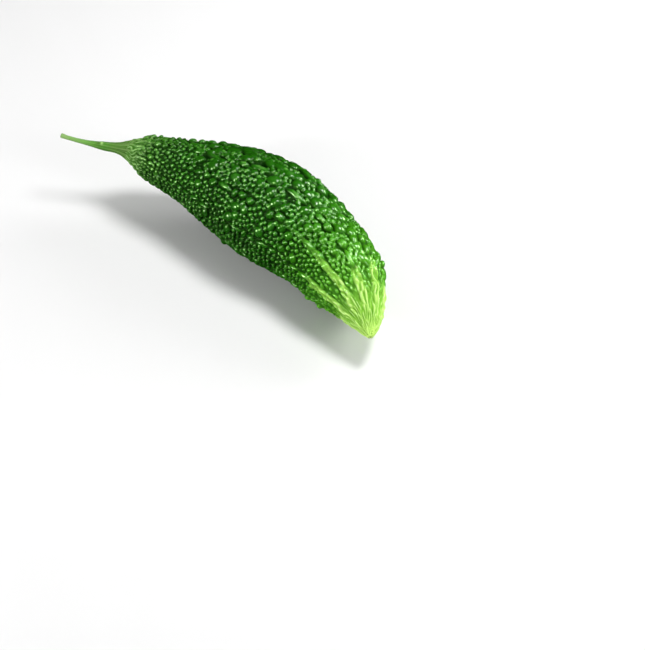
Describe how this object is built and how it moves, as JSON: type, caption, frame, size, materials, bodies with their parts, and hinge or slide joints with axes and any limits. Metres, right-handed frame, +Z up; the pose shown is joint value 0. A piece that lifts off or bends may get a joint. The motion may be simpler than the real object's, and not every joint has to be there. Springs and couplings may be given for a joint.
{
  "type": "bitter gourd",
  "caption": "Whole bitter gourd as picked: warty, ribbed green fruit tapering to a pale pointed tip, with its cut stem, lying on its belly.",
  "frame": {"origin": "under the middle of the object's box, on the surface that the flat spot of the belly rests on", "axes": "+Z up, +X from the stem towards the blossom tip along the longest extent, the fruit's outer curve towards +Y"},
  "size_m": [0.2446, 0.0866, 0.0656],
  "materials": {
    "warty_skin": "waxy green skin, glossy on the warts, yellow-green towards the tip",
    "stalk": "pale green ridged stalk, satin"
  },
  "bodies": {
    "root": {"fruit": "warty_skin", "stem": "stalk"}
  },
  "joints": []
}
